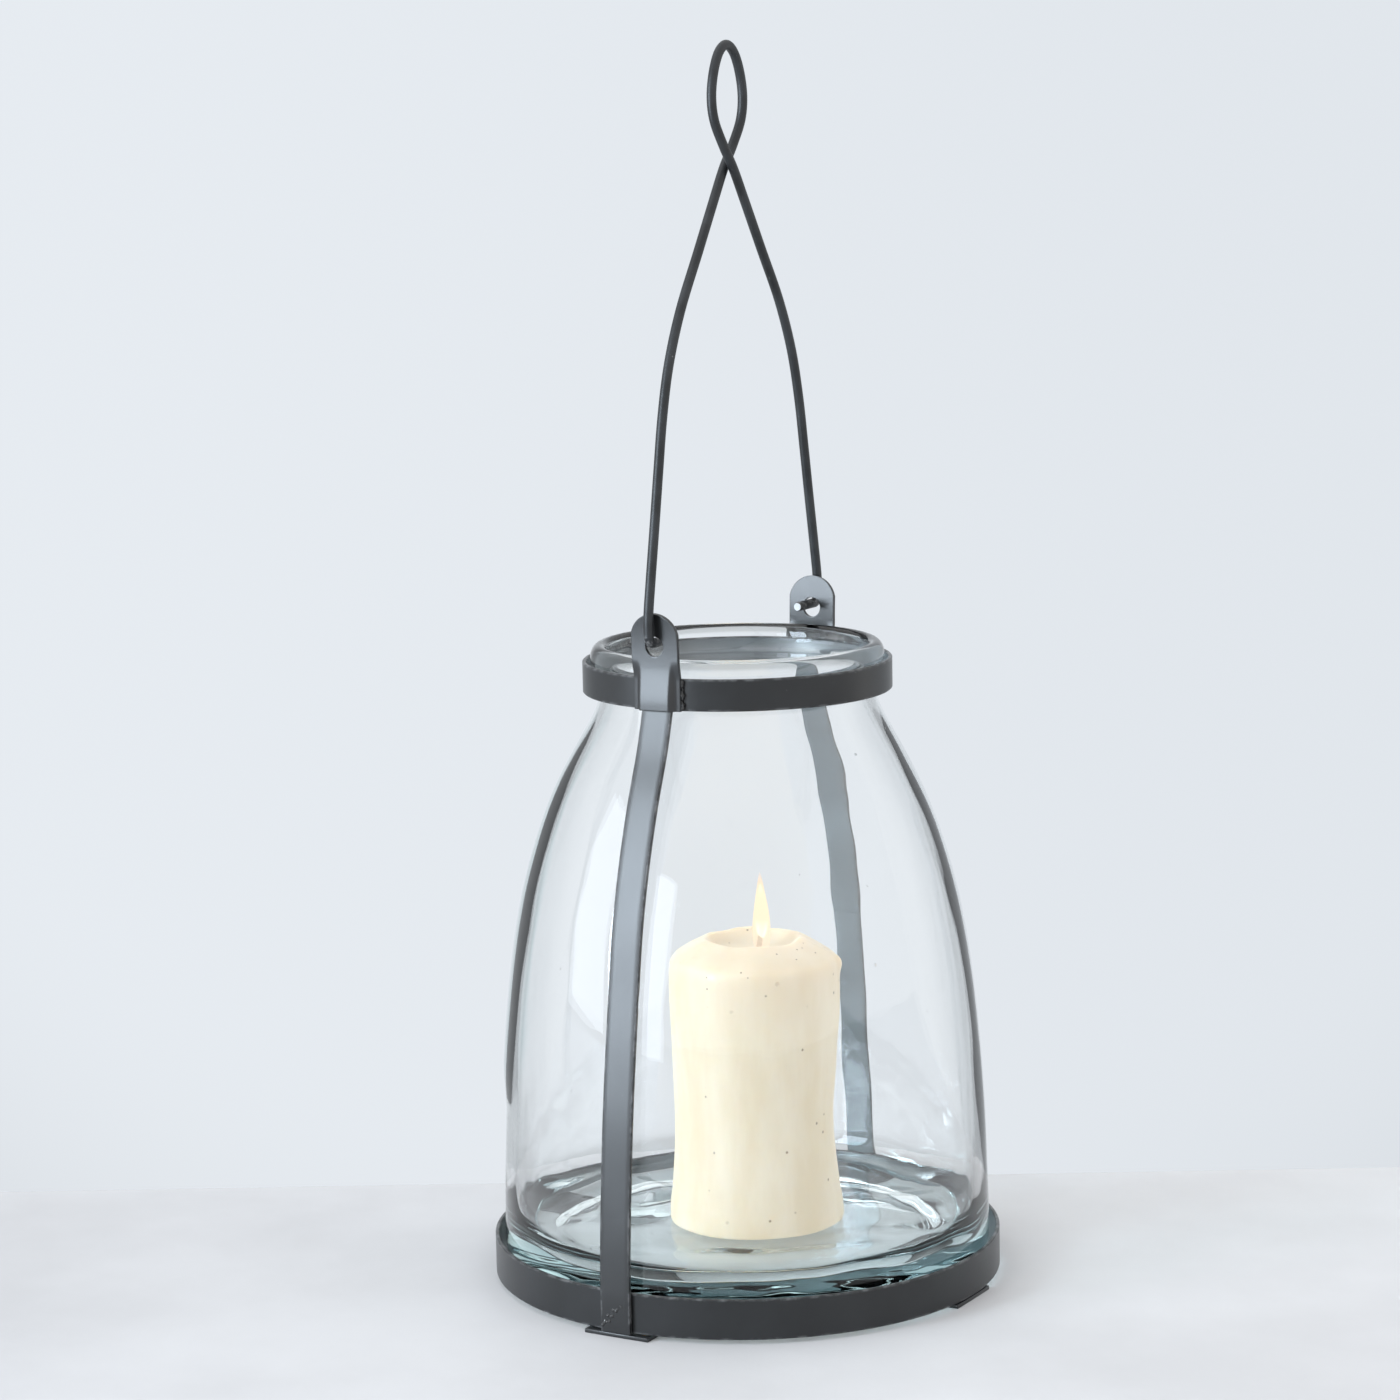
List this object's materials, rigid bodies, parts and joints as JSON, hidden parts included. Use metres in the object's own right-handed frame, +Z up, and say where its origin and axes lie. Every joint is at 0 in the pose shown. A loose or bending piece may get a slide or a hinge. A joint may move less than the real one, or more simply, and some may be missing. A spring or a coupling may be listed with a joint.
{
  "type": "candle lantern",
  "caption": "Domed clear glass jar lantern in a welded flat-strip steel frame, with a swinging wire bail that ends in a twisted hanging loop, and a loose pillar candle inside.",
  "frame": {"origin": "centre of the lantern's footprint at floor level, on the jar's axis", "axes": "+Z up along the jar's axis; X along the bail's pivot axis, so the two straps and lugs stand at -X (left) and +X (right); the front faces -Y"},
  "size_m": [0.1956, 0.192, 0.4617],
  "materials": {
    "frame_steel": "satin charcoal powder coat with a fine texture, small scratches and bare specks",
    "bail_wire": "satin charcoal powder coat, worn where it rubs in the lugs",
    "jar_glass": "thick clear recycled glass with a blue-green edge tint, mould seam and slight waves",
    "candle_wax": "ivory wax, smooth, a little translucent, with small pits and a drip",
    "wick_cotton": "braided cotton, charred at the tip"
  },
  "bodies": {
    "frame": {"right_foot": "frame_steel", "left_foot": "frame_steel", "back_foot": "frame_steel", "front_foot": "frame_steel", "lower_hoop": "frame_steel", "upper_hoop": "frame_steel", "left_strap": "frame_steel", "right_strap": "frame_steel", "left_lug": "frame_steel", "right_lug": "frame_steel", "glass_jar": "jar_glass"},
    "bail": {"bail_handle": "bail_wire"},
    "candle": {"candle": "candle_wax", "wick": "wick_cotton"}
  },
  "joints": [
    {"name": "bail_swing", "type": "hinge", "parent": "frame", "child": "bail", "pos_m": [0, 0, 0.24785], "axis": [1, 0, 0], "range_deg": [-140, 140]},
    {"name": "candle_lift", "type": "slide", "parent": "frame", "child": "candle", "axis": [0, 0, 1], "range_m": [0, 0.235]}
  ]
}
